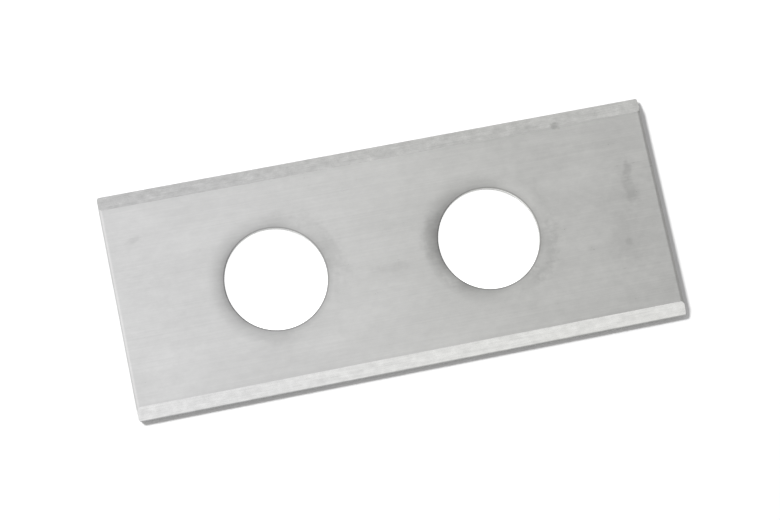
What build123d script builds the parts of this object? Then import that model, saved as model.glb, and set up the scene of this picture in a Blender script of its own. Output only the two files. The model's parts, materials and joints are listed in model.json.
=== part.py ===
from build123d import *
import os

# Small pivoting blade of a rotary mower: hardened steel strip, ground along both long edges,
# parted to length and pierced with two round holes. Sizes are in millimetres.
# X runs along the blade with its outer end at -X, Y runs from one cutting edge to the other,
# and Z is up from the flat underside.

# Strip
length = 43.0
width = 17.6
thickness = 0.75

# Cutting edges, ground from both faces down to a thin blunt line at half the thickness
bevel_width = 1.1
edge_land = 0.08

# Parted ends, each with its upper edge drawn down by the shear
corner_radius = 0.3  # seen from above
roll_width = 0.25
roll_depth = 0.08

# Punched holes, with the pair set a little nearer the outer end
hole_diameter = 7.9
hole_spacing = 16.8
pair_offset = -0.8
draw_in_width = 1.2  # shallow ring around the hole, pulled down by the punch
draw_in_depth = 0.06
rim_radius = 0.08  # between the ring and the smooth upper wall
fracture_height = 0.25  # lower wall, torn a little wider than the smooth part
fracture_flare = 0.04

# Punched hole, as the slug and the metal around it that the punch takes away
with BuildPart() as punched_hole:
    with BuildSketch(Plane.XZ) as hole_section:
        with BuildLine():
            ring_start = (hole_diameter / 2 + draw_in_width, thickness)
            ring_end = (hole_diameter / 2, thickness - draw_in_depth)
            TangentArc(ring_start, ring_end, tangent=(-1, 0))
            Polyline(
                ring_end,
                (hole_diameter / 2, fracture_height),
                (hole_diameter / 2 + fracture_flare, 0),
                (0, 0),
                (0, thickness),
                ring_start,
            )
        make_face()
        fillet(hole_section.vertices().sort_by_distance(ring_end)[0], rim_radius)
    revolve(axis=Axis.Z)

with BuildPart() as blade:
    # Strip with its ground edges, seen along its length
    with BuildSketch(Plane.YZ):
        with BuildLine():
            Polyline(
                (0, thickness),
                (width / 2 - bevel_width, thickness),
                (width / 2, (thickness + edge_land) / 2),
                (width / 2, (thickness - edge_land) / 2),
                (width / 2 - bevel_width, 0),
                (0, 0),
            )
            mirror(about=Plane.YZ)
        make_face()
    extrude(amount=length / 2, both=True)

    # Outline from above, with the corners that the parting tool leaves
    with BuildSketch():
        RectangleRounded(length, width, corner_radius)
    extrude(amount=thickness, mode=Mode.INTERSECT)

    # Outline from the side, with the upper edge of each end rolled over
    with BuildSketch(Plane.XZ):
        with BuildLine():
            roll_start = (length / 2 - roll_width, thickness)
            roll_end = (length / 2, thickness - roll_depth)
            Line((0, thickness), roll_start)
            TangentArc(roll_start, roll_end, tangent=(1, 0))
            Polyline(roll_end, (length / 2, 0), (0, 0))
            mirror(about=Plane.YZ)
        make_face()
    extrude(amount=width / 2, both=True, mode=Mode.INTERSECT)

    with Locations((pair_offset, 0)):
        with GridLocations(hole_spacing, 0, 2, 1):
            add(punched_hole.part, mode=Mode.SUBTRACT)

blade.part.label = "blade"

os.makedirs("parts", exist_ok=True)
export_step(blade.part, "parts/blade.step")
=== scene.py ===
import bpy
import json
import math
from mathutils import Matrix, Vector
from types import SimpleNamespace


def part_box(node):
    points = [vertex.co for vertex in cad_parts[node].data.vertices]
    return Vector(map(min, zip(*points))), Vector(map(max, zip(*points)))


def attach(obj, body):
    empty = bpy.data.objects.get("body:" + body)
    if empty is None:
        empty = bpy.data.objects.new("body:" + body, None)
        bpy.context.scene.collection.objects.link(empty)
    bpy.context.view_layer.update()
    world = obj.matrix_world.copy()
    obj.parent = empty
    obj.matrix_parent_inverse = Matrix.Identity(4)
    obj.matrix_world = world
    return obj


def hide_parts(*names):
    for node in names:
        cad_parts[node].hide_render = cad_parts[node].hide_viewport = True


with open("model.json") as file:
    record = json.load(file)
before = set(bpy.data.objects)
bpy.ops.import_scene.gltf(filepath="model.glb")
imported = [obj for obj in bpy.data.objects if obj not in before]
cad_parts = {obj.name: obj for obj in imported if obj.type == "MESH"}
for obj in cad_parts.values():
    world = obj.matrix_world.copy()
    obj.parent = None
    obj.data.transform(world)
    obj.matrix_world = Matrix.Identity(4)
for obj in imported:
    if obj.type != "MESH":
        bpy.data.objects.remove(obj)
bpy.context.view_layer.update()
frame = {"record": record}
mm = 0.001


# Small helpers that geometry and shader trees share

def feed(tree, socket, value):
    if isinstance(value, bpy.types.NodeSocket):
        tree.links.new(value, socket)
    elif value is not None:
        socket.default_value = value


def addNode(tree, kind, feeds=None, **settings):
    node = tree.nodes.new(kind)
    for name, value in settings.items():
        setattr(node, name, value)
    for name, value in (feeds or {}).items():
        feed(tree, node.inputs[name], value)
    return node


def mathsFor(tree):
    def maker(operation):
        def calc(*values):
            node = tree.nodes.new("ShaderNodeMath")
            node.operation = operation
            for socket, value in zip(node.inputs, values):
                feed(tree, socket, value)
            return node.outputs[0]
        return calc

    names = {
        "add": "ADD", "sub": "SUBTRACT", "mul": "MULTIPLY", "div": "DIVIDE", "root": "SQRT",
        "size": "ABSOLUTE", "low": "MINIMUM", "high": "MAXIMUM", "floor": "FLOOR", "round": "ROUND",
        "modulo": "MODULO", "sign": "SIGN", "cos": "COSINE", "arcCos": "ARCCOSINE", "angle": "ARCTAN2",
        "over": "GREATER_THAN", "under": "LESS_THAN",
    }
    m = SimpleNamespace(**{name: maker(operation) for name, operation in names.items()})
    m.clamp = lambda value: m.low(m.high(value, 0.0), 1.0)
    m.total = lambda first, *rest: m.total(m.add(first, rest[0]), *rest[1:]) if rest else first
    m.mix = lambda share, a, b: m.add(a, m.mul(share, m.sub(b, a)))
    return m


def vector(tree, x, y, z):
    return addNode(tree, "ShaderNodeCombineXYZ", {0: x, 1: y, 2: z}).outputs[0]


def parts(tree, value):
    return addNode(tree, "ShaderNodeSeparateXYZ", {0: value}).outputs


# The blade: a ground strip, then two punched holes. Lengths are in millimetres

bladeShape = {
    "Bevel Width": 1.1,  # ground edge, seen from above
    "Edge Land": 0.08,  # blunt line that the grinding leaves
    "Heel Wander": 0.03,  # how far the upper line of each ground edge strays
    "Roll Width": 0.25,  # upper edge of each end, drawn down by the shear
    "Roll Depth": 0.08,
    "Corner Outer Front": 0.28,  # corners seen from above; the front edge is at -Y
    "Corner Outer Back": 0.22,
    "Corner Inner Front": 0.2,
    "Corner Inner Back": 0.12,
    "Corner Largest": 0.5,  # reach of the close stations near the ends
    "Ring Width": 1.2,  # shallow ring that the punch drew down around each hole
    "Ring Depth": 0.06,
    "Rim Radius": 0.08,
    "Torn Height": 0.25,  # lower wall of a hole, torn a little wider
    "Torn Flare": 0.04,
    "Overshoot": 0.3,  # how far the punch passes the strip
}
bladeSteps = {  # how many steps each stretch is drawn in
    "roll": 18, "corner": 8, "middle": 22,  # stations from an end to the middle of the strip
    "bevel": 4,  # up a ground edge
    "ring": 8, "rim": 13, "round": 128,  # a punched hole
}
heelNoise = {  # how the heel line of each ground edge strays
    "seed": 7,
    "perMetre": 170.0,  # waves along the strip
    "edgeShift": 5.0, "faceShift": 9.0,  # so that the four heel lines differ
    "detail": 3.0,
}


def makeStrip(tree, size):
    m = mathsFor(tree)
    steps = bladeSteps
    half = steps["roll"] + steps["corner"] + steps["middle"]
    run = steps["bevel"] + 1
    around = 4 * run
    rod = addNode(tree, "GeometryNodeMeshCylinder", {"Vertices": around, "Side Segments": 2 * half,
                                                     "Radius": 1.0, "Depth": 1.0}, fill_type="NGON")
    px, py, pz = parts(tree, addNode(tree, "GeometryNodeInputPosition").outputs[0])
    # station along the strip, counted from the nearer end
    ring = m.round(m.mul(m.add(pz, 0.5), 2.0 * half))
    end = m.sign(m.sub(ring, float(half)))
    k = m.low(ring, m.sub(2.0 * half, ring))
    quarter = math.pi / 2
    rollTurn = m.mul(m.clamp(m.div(k, float(steps["roll"]))), quarter)
    fromRoll = m.mul(size["Roll Width"], m.sub(1.0, m.cos(rollTurn)))
    startTurn = m.arcCos(m.sub(1.0, m.div(size["Roll Width"], size["Corner Largest"])))
    cornerShare = m.clamp(m.div(m.sub(k, float(steps["roll"])), float(steps["corner"])))
    cornerTurn = m.mix(cornerShare, startTurn, quarter)
    fromCorner = m.sub(m.mul(size["Corner Largest"], m.sub(1.0, m.cos(cornerTurn))), size["Roll Width"])
    middleShare = m.clamp(m.div(m.sub(k, float(steps["roll"] + steps["corner"])), float(steps["middle"])))
    halfLength = m.mul(size["Length"], 0.5)
    fromMiddle = m.mul(middleShare, m.sub(halfLength, size["Corner Largest"]))
    inward = m.total(fromRoll, fromCorner, fromMiddle)
    x = m.mul(end, m.sub(halfLength, inward))
    # place in the section: up one ground edge, over the face, down the other edge and back underneath
    turn = m.modulo(m.add(m.div(m.angle(py, px), 2 * math.pi), 1.0), 1.0)
    point = m.modulo(m.round(m.mul(turn, float(around))), float(around))
    side4 = m.floor(m.div(m.add(point, 0.5), float(run)))
    along = m.div(m.sub(point, m.mul(side4, float(run))), float(run - 1))
    share = m.size(m.sub(m.modulo(side4, 2.0), along))  # 0 on the cutting edge, 1 on the heel
    back = m.sign(m.sub(m.size(m.sub(side4, 1.5)), 1.0))
    upper = m.sign(m.sub(1.5, side4))
    # corners seen from above
    atInner = m.mul(m.add(end, 1.0), 0.5)
    atBack = m.mul(m.add(back, 1.0), 0.5)
    corner = m.mix(
        atInner,
        m.mix(atBack, size["Corner Outer Front"], size["Corner Outer Back"]),
        m.mix(atBack, size["Corner Inner Front"], size["Corner Inner Back"]),
    )
    gone = m.clamp(m.div(m.sub(corner, inward), corner))
    cut = m.mul(corner, m.sub(1.0, m.root(m.sub(1.0, m.mul(gone, gone)))))
    # heel line of the grinding, which strays a little
    n = heelNoise
    place = vector(tree, m.mul(x, n["perMetre"]), m.mul(back, n["edgeShift"]), m.mul(upper, n["faceShift"]))
    noise = addNode(tree, "ShaderNodeTexNoise", {
        "Vector": place, "W": size["Seed"], "Scale": 1.0, "Detail": n["detail"]}, noise_dimensions="4D")
    stray = m.mul(m.mul(m.sub(noise.outputs["Fac"], 0.5), 2.0), size["Heel Wander"])
    halfWidth = m.mul(size["Width"], 0.5)
    heel = m.add(m.sub(halfWidth, size["Bevel Width"]), stray)
    middle = m.mul(size["Thickness"], 0.5)
    land = m.mul(size["Edge Land"], 0.5)
    # upper edge of each end, rolled over along an arc
    rollWidth, rollDepth = size["Roll Width"], size["Roll Depth"]
    arc = m.mul(m.add(m.div(m.mul(rollWidth, rollWidth), rollDepth), rollDepth), 0.5)
    rolled = m.high(m.sub(rollWidth, inward), 0.0)
    drop = m.mul(m.sub(arc, m.root(m.sub(m.mul(arc, arc), m.mul(rolled, rolled)))), m.over(upper, 0.0))
    # the ground edge rises to the face, or to the rolled edge where that is lower
    height = m.sub(1.0, m.div(drop, m.sub(middle, land)))
    top = m.sub(halfWidth, m.mul(height, m.sub(halfWidth, heel)))
    out = m.mix(share, m.sub(halfWidth, cut), top)
    y = m.mul(back, out)
    rise = m.clamp(m.div(m.sub(halfWidth, out), m.sub(halfWidth, heel)))
    z = m.add(middle, m.mul(upper, m.mix(rise, land, middle)))
    return addNode(tree, "GeometryNodeSetPosition", {"Geometry": rod.outputs["Mesh"],
                                                     "Position": vector(tree, x, y, z)}).outputs[0]


punchShape = {
    "straightShare": 0.15,  # share of the ring's slope that is straight, while the rest eases out
    "reach": 1.2, "rise": 0.03,  # it passes the ring this many ring widths out and ring depths above the face
    "rimPoint": 2,  # point of the outline that the rim rounds
}


def makePunch(tree, size):
    m = mathsFor(tree)
    top, over = size["Thickness"], size["Overshoot"]
    wall = size["Hole Radius"]
    below = m.mul(size["Torn Flare"], m.add(1.0, m.div(over, size["Torn Height"])))
    edge = [
        (m.add(wall, below), m.sub(0.0, over)),
        (wall, size["Torn Height"]),
        (wall, m.sub(top, size["Ring Depth"])),
    ]
    straight = punchShape["straightShare"]
    for i in range(1, bladeSteps["ring"] + 1):  # the drawn-down ring eases out into the flat face
        left = 1 - i / bladeSteps["ring"]
        depth = straight * left + (1 - straight) * left ** 2
        edge.append((m.add(wall, m.mul(size["Ring Width"], 1 - left)),
                     m.sub(top, m.mul(size["Ring Depth"], depth))))
    wide = m.add(wall, m.mul(size["Ring Width"], punchShape["reach"]))
    above = m.add(top, m.mul(size["Ring Depth"], punchShape["rise"]))
    edge += [(wide, above), (wide, m.add(top, over))]
    pick = addNode(tree, "GeometryNodeIndexSwitch", data_type="VECTOR")
    while len(pick.index_switch_items) < len(edge):
        pick.index_switch_items.new()
    feed(tree, pick.inputs["Index"], addNode(tree, "GeometryNodeInputIndex").outputs[0])
    for i, (r, z) in enumerate(edge):
        feed(tree, pick.inputs[1 + i], vector(tree, r, 0.0, z))
    line = addNode(tree, "GeometryNodeMeshLine", {"Count": len(edge)})
    placed = addNode(tree, "GeometryNodeSetPosition", {"Geometry": line.outputs[0],
                                                       "Position": pick.outputs[0]})
    outline = addNode(tree, "GeometryNodeMeshToCurve", {"Mesh": placed.outputs[0]})
    # the node's inputs 2 and 3 are the whole numbers that it compares
    isRim = addNode(tree, "FunctionNodeCompare", {
        2: addNode(tree, "GeometryNodeInputIndex").outputs[0], 3: punchShape["rimPoint"],
    }, data_type="INT", operation="EQUAL")
    filleted = addNode(tree, "GeometryNodeFilletCurve", {
        "Curve": outline.outputs[0], "Count": bladeSteps["rim"], "Limit Radius": True,
        "Radius": m.mul(isRim.outputs[0], size["Rim Radius"])}, mode="POLY")
    # turn that outline about the hole's axis
    count = addNode(tree, "GeometryNodeAttributeDomainSize", {"Geometry": filleted.outputs[0]},
                    component="CURVE")
    rings = m.sub(count.outputs["Point Count"], 1.0)
    rod = addNode(tree, "GeometryNodeMeshCylinder", {"Vertices": bladeSteps["round"], "Side Segments": rings,
                                                     "Radius": 1.0, "Depth": 1.0}, fill_type="NGON")
    position = addNode(tree, "GeometryNodeInputPosition").outputs[0]
    px, py, pz = parts(tree, position)
    onOutline = addNode(tree, "GeometryNodeSampleIndex", data_type="FLOAT_VECTOR", domain="POINT")
    feed(tree, onOutline.inputs["Geometry"], filleted.outputs[0])
    feed(tree, onOutline.inputs["Value"], position)
    feed(tree, onOutline.inputs["Index"], m.round(m.mul(m.add(pz, 0.5), rings)))
    reached = parts(tree, onOutline.outputs[0])
    r, z = reached[0], reached[2]
    return addNode(tree, "GeometryNodeSetPosition", {
        "Geometry": rod.outputs["Mesh"], "Position": vector(tree, m.mul(px, r), m.mul(py, r), z)}).outputs[0]


faceLimits = {  # how faces are told apart, by their normals and where they lie
    "flat": 0.999998,  # straight up or down
    "level": 0.75,  # less upright than this is a wall
    "alongStrip": 0.3, "acrossStrip": 0.2,  # a ground edge leans little along the strip and more across it
    "edgeMargin": 1.02,  # how far in the ground edge reaches, in its own widths
    "softBend": 7.8,  # most degrees between faces that stay smooth
    "noneFlat": 0.01,  # below this, none of the faces at an edge is flat
}


def makeBladeTree(sizes, sheared, rolled, ground):
    tree = bpy.data.node_groups.new("punchedBlade", "GeometryNodeTree")
    tree.is_modifier = True
    tree.interface.new_socket("Geometry", in_out="INPUT", socket_type="NodeSocketGeometry")
    for name, value in sizes.items():
        socket = tree.interface.new_socket(name, in_out="INPUT", socket_type="NodeSocketFloat")
        socket.default_value = value
    tree.interface.new_socket("Geometry", in_out="OUTPUT", socket_type="NodeSocketGeometry")
    size = tree.nodes.new("NodeGroupInput").outputs
    m = mathsFor(tree)
    strip = makeStrip(tree, size)
    punch = makePunch(tree, size)
    centres = addNode(tree, "GeometryNodeMeshLine", {
        "Count": 2, "Start Location": vector(tree, size["Outer Hole"], 0.0, 0.0),
        "Offset": vector(tree, m.sub(size["Inner Hole"], size["Outer Hole"]), 0.0, 0.0)})
    punches = addNode(tree, "GeometryNodeInstanceOnPoints", {"Points": centres.outputs[0], "Instance": punch})
    tools = addNode(tree, "GeometryNodeRealizeInstances", {"Geometry": punches.outputs[0]})
    pierced = addNode(tree, "GeometryNodeMeshBoolean", operation="DIFFERENCE", solver="EXACT")
    for body, socket in ((strip, "Mesh 1"), (tools.outputs[0], "Mesh 2")):
        walls = addNode(tree, "GeometryNodeSetMaterial", {"Geometry": body, "Material": sheared})
        tree.links.new(walls.outputs[0], pierced.inputs[socket])
    # only the curved faces are smooth: the flat ones keep straight normals
    f = faceLimits
    nx, ny, nz = parts(tree, addNode(tree, "GeometryNodeInputNormal").outputs["True Normal"])
    flat = m.over(m.size(nz), f["flat"])
    flatNear = addNode(tree, "GeometryNodeFieldOnDomain", data_type="FLOAT", domain="EDGE")
    flatFace = addNode(tree, "GeometryNodeFieldOnDomain", {0: flat}, data_type="FLOAT", domain="FACE")
    feed(tree, flatNear.inputs[0], flatFace.outputs[0])
    bend = addNode(tree, "GeometryNodeInputMeshEdgeAngle").outputs["Unsigned Angle"]
    soft = m.mul(m.under(bend, math.radians(f["softBend"])), m.under(flatNear.outputs[0], f["noneFlat"]))
    faces = addNode(tree, "GeometryNodeSetShadeSmooth", {"Geometry": pierced.outputs["Mesh"],
                                                         "Shade Smooth": True}, domain="FACE")
    smooth = addNode(tree, "GeometryNodeSetShadeSmooth", {"Geometry": faces.outputs[0]}, domain="EDGE")
    feed(tree, smooth.inputs["Shade Smooth"], soft)
    # finishes: rolled faces, ground edges, and sheared or punched walls
    y = parts(tree, addNode(tree, "GeometryNodeInputPosition").outputs[0])[1]
    halfWidth = m.mul(size["Width"], 0.5)
    level = m.over(m.size(nz), f["level"])
    byEdge = m.over(m.size(y), m.sub(halfWidth, m.mul(size["Bevel Width"], f["edgeMargin"])))
    bevelled = m.mul(m.mul(byEdge, m.under(m.size(nx), f["alongStrip"])),
                     m.over(m.size(ny), f["acrossStrip"]))
    geometry = addNode(tree, "GeometryNodeRealizeInstances", {"Geometry": smooth.outputs[0]}).outputs[0]
    for material, chosen in ((rolled, level), (ground, bevelled)):
        node = addNode(tree, "GeometryNodeSetMaterial", {"Geometry": geometry, "Selection": chosen,
                                                         "Material": material})
        geometry = node.outputs[0]
    tree.links.new(geometry, tree.nodes.new("NodeGroupOutput").inputs[0])
    return tree


def makeBlade(materials):
    low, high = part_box("blade")
    length, width, thickness = high - low
    holes = {mount["name"]: mount for mount in frame["record"]["mounts"] if mount["kind"] == "bore"}
    sizes = {
        "Length": length, "Width": width, "Thickness": thickness,
        "Hole Radius": holes["outer_hole"]["dims"]["r_mm"] * mm,
        "Outer Hole": holes["outer_hole"]["pos_m"][0], "Inner Hole": holes["inner_hole"]["pos_m"][0],
        "Seed": heelNoise["seed"],
    }
    sizes.update({name: value * mm for name, value in bladeShape.items()})
    tree = makeBladeTree(sizes, *materials)
    carrier = bpy.data.objects.new("bladeCarrier", bpy.data.meshes.new("bladeCarrier"))
    bpy.context.scene.collection.objects.link(carrier)
    modifier = carrier.modifiers.new("blade", "NODES")
    modifier.node_group = tree
    for item in tree.interface.items_tree:
        if item.in_out == "INPUT" and item.name in sizes:
            modifier[item.identifier] = float(sizes[item.name])
    shown = carrier.evaluated_get(bpy.context.evaluated_depsgraph_get())
    mesh = bpy.data.meshes.new_from_object(shown)
    mesh.name = "punchedBlade"
    while mesh.materials[0] is None:
        mesh.materials.pop(index=0)
    bpy.data.objects.remove(carrier)
    blade = bpy.data.objects.new("punchedBlade", mesh)
    bpy.context.scene.collection.objects.link(blade)
    print("blade made:", len(mesh.vertices), "points,", len(mesh.polygons), "faces,",
          len(mesh.materials), "finishes")
    return blade


# Finishes of the steel. Lengths are in millimetres. The first tone of a finish is the share of the light
# that comes back, and every other one multiplies it

# some of the tones below are painted shade and painted light, marked where they stand
rolledFinish = {
    "tone": 0.683, "roughness": 0.31, "seed": 1.0,
    "grain": (7.0, 0.1, 0.3), "grainTone": 0.035, "grainHeight": 0.0001,  # fine lines along the strip
    "mottle": (0.7, 0.5, 0.5), "mottleTone": 0.05, "mottleHeight": 0.001,
    "cloud": (7.0, 3.0, 3.0), "cloudTone": 0.05,
    "roughnessSpread": 0.05,
    "lipShadeStart": 0.06, "lipShadeReach": 0.17, "lipShadeTone": 0.66,  # painted shade: a thin dark lip on the rounded rim of each punched hole
    "rimShadeReach": 0.55, "rimShadeTone": 0.88,  # painted shade on the drawn-down rim beside it
    "ringShadeReach": 1.7, "ringShadeTone": 0.89,  # and fainter painted shade over the drawn-down ring around it
    "ringShadeStart": 0.1, "ringShadeWander": 0.25,  # where those two start to fade, and how far they stray
    "heelReach": 0.3, "heelTone": 0.96,  # beside the ground edges
    "endShadeReach": 0.24, "innerEndShadeTone": 0.96, "outerEndShadeTone": 0.82,  # painted shade on the rolled-over edges of the ends, deeper at the outer end
    "paintedLightFrom": 11.5, "paintedLightTo": 16.5, "paintedLightTone": 1.055,  # painted light: the face is paler towards the inner end
}
groundFinish = {
    # the ground tone is paler than the rolled face: partly a brighter ground finish, partly painted light in
    # place of a lamp
    "tone": 0.745, "roughness": 0.25, "seed": 11.0,
    "grain": (3.5, 0.07, 0.07), "grainTone": 0.07, "grainHeight": 0.0003,  # grinding lines along the edge
    "mottle": (0.7, 0.5, 0.5), "mottleTone": 0.11, "mottleHeight": 0.0011,
    "edgeShadeStart": 0.02, "edgeShadeReach": 0.13, "edgeShadeTone": 0.45,  # painted shade: a dark line along the front cutting edge only
    "roughnessSpread": 0.04,
}
shearedFinish = {
    # the walls' low tone is partly a duller cut surface and partly painted shade, which darkens the rims of
    # the holes and ends
    "tone": 0.38, "roughness": 0.32, "seed": 21.0,
    "grain": (0.07, 0.07, 1.2), "grainTone": 0.16, "grainHeight": 0.004,  # draw lines down the wall
    "tornHeight": 0.27, "tornTone": 0.62, "tornRoughness": 0.22,  # rough lower part
    "tornGrain": (0.09, 0.09, 0.07), "tornBump": 0.008,
    "borderGrain": (0.4, 0.4, 0.4), "borderSpread": 0.16, "borderFade": 0.02,  # the uneven line between them
}
# all the steel is a touch warmer towards the inner end: its blue is cut to this share
warmth = {"from": -20.0, "to": 12.0, "blue": 0.975}
# soft marks of punching and handling, and painted shade and light, on the upper side: place, half sizes, turn
# in degrees, tone
marksAndPaintedLight = [
    ((13.5, 8.35), (0.9, 0.35), 0, 1.06),  # knock on the back ground edge: a pale patch and three dark ones
    ((13.0, 7.6), (1.0, 0.2), 0, 0.96),
    ((12.55, 7.93), (0.5, 0.25), 0, 0.89),
    ((14.55, 7.8), (0.4, 0.33), 0, 0.76),
    ((19.4, 3.3), (0.32, 0.8), -8, 0.84),  # smudges near the inner end
    ((19.3, 1.7), (0.6, 1.3), 10, 0.86),
    ((18.3, -2.3), (0.3, 0.35), 0, 0.90),
    ((18.2, -2.0), (1.3, 1.9), 0, 0.93),
    ((-0.4, -0.8), (1.5, 0.4), 0, 0.93),  # between the holes
    ((-19.3, 5.0), (0.6, 0.22), 12, 0.90),  # near the outer end
    ((-8.3, 4.3), (1.6, 0.7), -11, 0.94),  # painted shade around the outer hole, where the ring is uneven
    ((-5.1, 1.9), (1.0, 3.0), 25, 0.91),
    ((-10.1, -4.3), (1.6, 0.7), -11, 0.93),
    ((3.4, 0.85), (1.1, 1.7), -12, 0.87),  # painted shade around the inner hole, with one paler patch
    ((11.7, -1.8), (0.9, 2.4), -24, 0.86),
    ((8.4, 4.2), (1.3, 0.6), -11, 0.92),
    ((4.1, -2.3), (0.7, 0.9), 34, 1.18),
    ((11.95, 0.3), (0.55, 3.2), 0, 0.93),
    ((10.1, -3.75), (1.2, 0.65), 34, 0.9),
    ((-4.85, 0.6), (0.5, 3.2), 0, 0.95),  # painted shade on the inner side of the outer hole
    ((-20.0, -2.5), (3.5, 5.5), 0, 1.035),  # painted light: the outer end is a little paler
    ((8.0, 8.3), (7.5, 0.9), 0, 0.965),  # darker middle of the back ground edge
]
markEdge = {
    "full": 0.35, "gone": 1.35,  # a mark fades between these shares of its half sizes
    "ragged": 0.9, "grain": (0.5, 0.35, 0.35), "seed": 31.0,  # and its edge is uneven
}
upperSide = 0.3  # height above the underside from which a point belongs to the upper side
holeCentres = [mount["pos_m"][0] / mm for mount in frame["record"]["mounts"] if mount["kind"] == "bore"]
holeRadius = next(mount["dims"]["r_mm"] for mount in frame["record"]["mounts"] if mount["kind"] == "bore")
halfLength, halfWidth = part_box("blade")[1].x / mm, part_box("blade")[1].y / mm


def startSteel(name):
    material = bpy.data.materials.new(name)
    material.use_nodes = True
    tree = material.node_tree
    shader = tree.nodes["Principled BSDF"]
    shader.inputs["Metallic"].default_value = 1.0
    onBlade = addNode(tree, "ShaderNodeTexCoord").outputs["Object"]
    place = addNode(tree, "ShaderNodeVectorMath", {0: onBlade, "Scale": 1 / mm}, operation="SCALE").outputs[0]
    return material, tree, shader, place


def noiseOf(tree, place, size, seed, detail=3.0):
    m = mathsFor(tree)
    scaled = addNode(tree, "ShaderNodeVectorMath", {0: place, 1: [1 / v for v in size]}, operation="MULTIPLY")
    noise = addNode(tree, "ShaderNodeTexNoise", {"Vector": scaled.outputs[0], "W": seed, "Scale": 1.0,
                                                 "Detail": detail, "Roughness": 0.55}, noise_dimensions="4D")
    return m.mul(m.sub(noise.outputs["Fac"], 0.5), 2.0)  # about -0.5 to 0.5


def fade(tree, value, start, end):
    # 1 where value is at start, easing to 0 at end
    return addNode(tree, "ShaderNodeMapRange", {"Value": value, "From Min": start, "From Max": end,
                                                "To Min": 1.0, "To Max": 0.0},
                   interpolation_type="SMOOTHSTEP").outputs[0]


def tinted(m, share, tone):
    return m.mix(share, 1.0, tone)


def varied(m, tone, noise, depth):
    # depth is about the most that the tone changes, because the noise runs from about -0.5 to 0.5
    return m.mul(tone, m.add(1.0, m.mul(noise, 2 * depth)))


def markAndPaintedLightTone(tree, place):
    m = mathsFor(tree)
    e = markEdge
    x, y, z = parts(tree, place)
    wobble = noiseOf(tree, place, e["grain"], e["seed"])
    onTop = m.over(z, upperSide)
    tones = []
    for (cx, cy), (sx, sy), turn, tone in marksAndPaintedLight:
        a = math.radians(turn)
        dx, dy = m.sub(x, cx), m.sub(y, cy)
        u = m.div(m.add(m.mul(dx, math.cos(a)), m.mul(dy, math.sin(a))), sx)
        v = m.div(m.sub(m.mul(dy, math.cos(a)), m.mul(dx, math.sin(a))), sy)
        away = m.add(m.root(m.add(m.mul(u, u), m.mul(v, v))), m.mul(wobble, e["ragged"]))
        tones.append(tinted(m, m.mul(fade(tree, away, e["full"], e["gone"]), onTop), tone))
    result = tones[0]
    for tone in tones[1:]:
        result = m.mul(result, tone)
    return result


def finishSteel(tree, shader, place, tone, roughness, height):
    m = mathsFor(tree)
    warm = fade(tree, parts(tree, place)[0], warmth["to"], warmth["from"])
    blue = m.mul(tone, tinted(m, warm, warmth["blue"]))
    colour = addNode(tree, "ShaderNodeCombineColor", {"Red": tone, "Green": tone, "Blue": blue})
    feed(tree, shader.inputs["Base Color"], colour.outputs[0])
    feed(tree, shader.inputs["Roughness"], roughness)
    bump = addNode(tree, "ShaderNodeBump", {"Strength": 1.0, "Distance": mm, "Height": height})
    feed(tree, shader.inputs["Normal"], bump.outputs[0])


def rolledSteel():
    f = rolledFinish
    material, tree, shader, place = startSteel("rolledSteel")
    m = mathsFor(tree)
    x, y, z = parts(tree, place)
    grain = noiseOf(tree, place, f["grain"], f["seed"], detail=2.0)
    mottle = noiseOf(tree, place, f["mottle"], f["seed"] + 1)
    cloud = noiseOf(tree, place, f["cloud"], f["seed"] + 2, detail=2.0)
    away = m.low(*[m.root(m.add(m.mul(m.sub(x, cx), m.sub(x, cx)), m.mul(y, y))) for cx in holeCentres])
    away = m.sub(away, holeRadius)
    # painted shade around each hole: a dark lip on the rim, then the drawn-down rim and ring
    lipShade = fade(tree, away, f["lipShadeStart"], f["lipShadeReach"])
    away = m.add(away, m.mul(cloud, f["ringShadeWander"]))
    rim = fade(tree, away, f["ringShadeStart"], f["rimShadeReach"])
    ring = fade(tree, away, f["ringShadeStart"], f["ringShadeReach"])
    # painted shade on the rolled-over edges of the ends
    innerEndShade = fade(tree, x, halfLength, halfLength - f["endShadeReach"])
    outerEndShade = fade(tree, x, -halfLength, f["endShadeReach"] - halfLength)
    # painted light: paler towards the inner end
    pale = fade(tree, x, f["paintedLightTo"], f["paintedLightFrom"])
    heelLine = halfWidth - bladeShape["Bevel Width"]
    heel = m.mul(fade(tree, m.size(y), heelLine, heelLine - f["heelReach"]), m.over(z, upperSide))
    tone = m.mul(f["tone"], markAndPaintedLightTone(tree, place))
    for noise, depth in ((grain, f["grainTone"]), (mottle, f["mottleTone"]), (cloud, f["cloudTone"])):
        tone = varied(m, tone, noise, depth)
    for share, change in ((lipShade, "lipShadeTone"), (rim, "rimShadeTone"), (ring, "ringShadeTone"), (heel, "heelTone"),
                          (innerEndShade, "innerEndShadeTone"), (outerEndShade, "outerEndShadeTone"), (pale, "paintedLightTone")):
        tone = m.mul(tone, tinted(m, share, f[change]))
    roughness = m.add(f["roughness"], m.mul(m.add(mottle, grain), f["roughnessSpread"]))
    height = m.add(m.mul(grain, f["grainHeight"]), m.mul(mottle, f["mottleHeight"]))
    finishSteel(tree, shader, place, tone, roughness, height)
    return material


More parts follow.
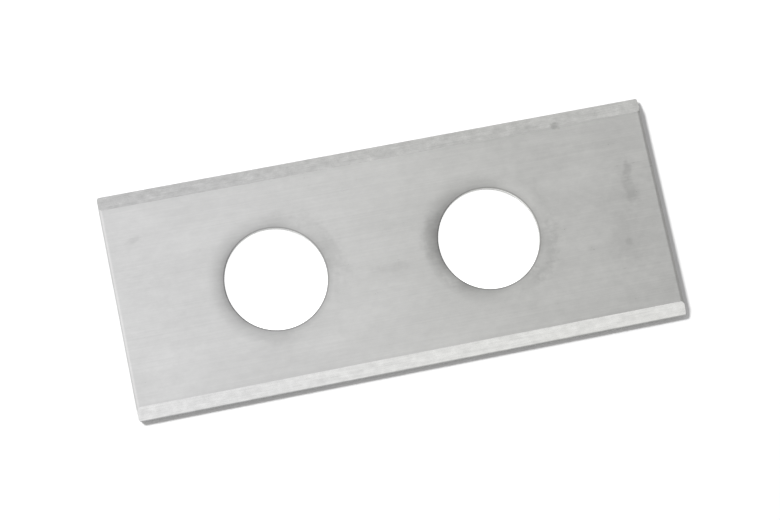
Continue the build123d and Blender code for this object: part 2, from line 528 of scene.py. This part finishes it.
def groundSteel():
    f = groundFinish
    material, tree, shader, place = startSteel("groundSteel")
    m = mathsFor(tree)
    grain = noiseOf(tree, place, f["grain"], f["seed"])
    mottle = noiseOf(tree, place, f["mottle"], f["seed"] + 1)
    y = parts(tree, place)[1]
    # painted shade: a dark line along the front cutting edge
    edge = fade(tree, m.sub(0.0, y), halfWidth - f["edgeShadeStart"], halfWidth - f["edgeShadeReach"])
    tone = m.mul(m.mul(f["tone"], markAndPaintedLightTone(tree, place)), tinted(m, edge, f["edgeShadeTone"]))
    for noise, depth in ((grain, f["grainTone"]), (mottle, f["mottleTone"])):
        tone = varied(m, tone, noise, depth)
    roughness = m.add(f["roughness"], m.mul(m.add(mottle, grain), f["roughnessSpread"]))
    height = m.add(m.mul(grain, f["grainHeight"]), m.mul(mottle, f["mottleHeight"]))
    finishSteel(tree, shader, place, tone, roughness, height)
    return material


def shearedSteel():
    f = shearedFinish
    material, tree, shader, place = startSteel("shearedSteel")
    m = mathsFor(tree)
    z = parts(tree, place)[2]
    drawn = noiseOf(tree, place, f["grain"], f["seed"])
    torn = noiseOf(tree, place, f["tornGrain"], f["seed"] + 1)
    stray = m.mul(noiseOf(tree, place, f["borderGrain"], f["seed"] + 2), f["borderSpread"])
    border = m.add(f["tornHeight"], stray)
    below = fade(tree, z, m.sub(border, f["borderFade"]), m.add(border, f["borderFade"]))
    tone = m.mul(varied(m, f["tone"], drawn, f["grainTone"]), tinted(m, below, f["tornTone"]))
    roughness = m.add(f["roughness"], m.mul(below, f["tornRoughness"]))
    height = m.mix(below, m.mul(drawn, f["grainHeight"]), m.mul(torn, f["tornBump"]))
    finishSteel(tree, shader, place, tone, roughness, height)
    return material


finishes = [shearedSteel(), rolledSteel(), groundSteel()]
print("finishes made:", ", ".join(material.name for material in finishes))
blade = makeBlade(finishes)
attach(blade, "root")
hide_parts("blade")


# Floor, lights and camera

studio = {  # lengths in metres
    "floorHalf": 1.5, "floorDrop": 0.00002,  # the floor lies just clear of the underside
    "floorTone": 0.92,
    "floorGlow": 0.07,
    "paintedHoleLight": 0.85,  # painted light: the floor under the blade glows brighter, so the floor seen through the holes is burnt out to white without the blade's shadow
    "glowFromEnds": (6, 1), "glowFromEdges": (3, 1),  # mm inside the outline: where that is full, and gone
    "worldLevel": 0.3,  # what the floor gets from all around, while the steel and the camera meet white
    "lamps": {  # place, size, power, and whether the steel reflects it
        "keyLight": ((-0.20, 0.105, 0.25), 0.28, 0.05, True),
        "shadowLight": ((-0.39, 0.357, 0.55), 0.175, 5.9, False),
    },
    "cards": {  # grey cards that the steel reflects: two ends of the foot, height and brightness
        "rightCard": ((0.25, -0.2), (0.25, 0.4), 1.3, 0.38),
        "backCard": ((-0.6, 0.3), (0.6, 0.3), 0.325, 0.6),
    },
}


def brightRays(tree):
    # 1 for the rays of the camera, of gloss and of transmission, which see a pale floor and background
    m = mathsFor(tree)
    rays = addNode(tree, "ShaderNodeLightPath").outputs
    return m.high(rays["Is Camera Ray"], m.high(rays["Is Glossy Ray"], rays["Is Transmission Ray"]))


def makeFloor():
    half, down = studio["floorHalf"], -studio["floorDrop"]
    mesh = bpy.data.meshes.new("floor")
    mesh.from_pydata([(-half, -half, down), (half, -half, down), (half, half, down), (-half, half, down)],
                     [], [(0, 1, 2, 3)])
    floor = bpy.data.objects.new("floor", mesh)
    bpy.context.scene.collection.objects.link(floor)
    material = bpy.data.materials.new("paleFloor")
    material.use_nodes = True
    tree = material.node_tree
    tree.nodes.clear()
    m = mathsFor(tree)
    matt = addNode(tree, "ShaderNodeBsdfDiffuse", {"Color": (studio["floorTone"],) * 3 + (1,)})
    onFloor = parts(tree, addNode(tree, "ShaderNodeTexCoord").outputs["Object"])
    # painted light: the floor glows more under the blade, which only the holes show
    (fullX, goneX), (fullY, goneY) = studio["glowFromEnds"], studio["glowFromEdges"]
    within = m.mul(fade(tree, m.size(onFloor[0]), (halfLength - fullX) * mm, (halfLength - goneX) * mm),
                   fade(tree, m.size(onFloor[1]), (halfWidth - fullY) * mm, (halfWidth - goneY) * mm))
    level = m.mix(within, studio["floorGlow"], studio["paintedHoleLight"])
    glow = addNode(tree, "ShaderNodeEmission", {"Strength": m.mul(brightRays(tree), level)})
    both = addNode(tree, "ShaderNodeAddShader", {0: matt.outputs[0], 1: glow.outputs[0]})
    addNode(tree, "ShaderNodeOutputMaterial", {"Surface": both.outputs[0]})
    material.cycles.emission_sampling = "NONE"
    floor.data.materials.append(material)


def addCard(name, start, end, height, brightness):
    mesh = bpy.data.meshes.new(name)
    mesh.from_pydata([(*start, 0), (*end, 0), (*end, height), (*start, height)], [], [(0, 1, 2, 3)])
    card = bpy.data.objects.new(name, mesh)
    card.visible_camera = False
    bpy.context.scene.collection.objects.link(card)
    material = bpy.data.materials.new(name)
    material.use_nodes = True
    tree = material.node_tree
    tree.nodes.clear()
    glow = addNode(tree, "ShaderNodeEmission", {"Strength": brightness})
    addNode(tree, "ShaderNodeOutputMaterial", {"Surface": glow.outputs[0]})
    material.cycles.emission_sampling = "NONE"
    card.data.materials.append(material)


def makeWorld():
    world = bpy.data.worlds.new("studio")
    bpy.context.scene.world = world
    world.use_nodes = True
    tree = world.node_tree
    tree.nodes.clear()
    level = mathsFor(tree).mix(brightRays(tree), studio["worldLevel"], 1.0)
    back = addNode(tree, "ShaderNodeBackground", {"Color": (1, 1, 1, 1), "Strength": level})
    addNode(tree, "ShaderNodeOutputWorld", {"Surface": back.outputs[0]})
    world.cycles.sampling_method = "NONE"  # so that each kind of ray meets its own level


def addSoftbox(name, place, size, power, reflected):
    light = bpy.data.lights.new(name, "AREA")
    light.shape = "DISK"
    light.size = size
    light.energy = power
    lamp = bpy.data.objects.new(name, light)
    lamp.location = place
    lamp.rotation_euler = (-Vector(place)).to_track_quat("-Z", "Y").to_euler()
    lamp.visible_glossy = reflected
    bpy.context.scene.collection.objects.link(lamp)


makeFloor()
makeWorld()
for name, card in studio["cards"].items():
    addCard(name, *card)
for name, lamp in studio["lamps"].items():
    addSoftbox(name, *lamp)

cameraSpot = {  # millimetres and degrees
    "place": (-22.49, -29.69, 181.3), "turns": (10.434, -4.961, -11.801), "lens": 110.5,
    "nearest": 5, "farthest": 20000,
}
camera = bpy.data.objects.new("camera", bpy.data.cameras.new("camera"))
camera.location = [v * mm for v in cameraSpot["place"]]
camera.rotation_euler = [math.radians(v) for v in cameraSpot["turns"]]
camera.data.lens = cameraSpot["lens"]
camera.data.clip_start, camera.data.clip_end = cameraSpot["nearest"] * mm, cameraSpot["farthest"] * mm
bpy.context.scene.collection.objects.link(camera)
bpy.context.scene.camera = camera
bpy.context.scene.view_settings.view_transform = "Standard"
print("studio ready")
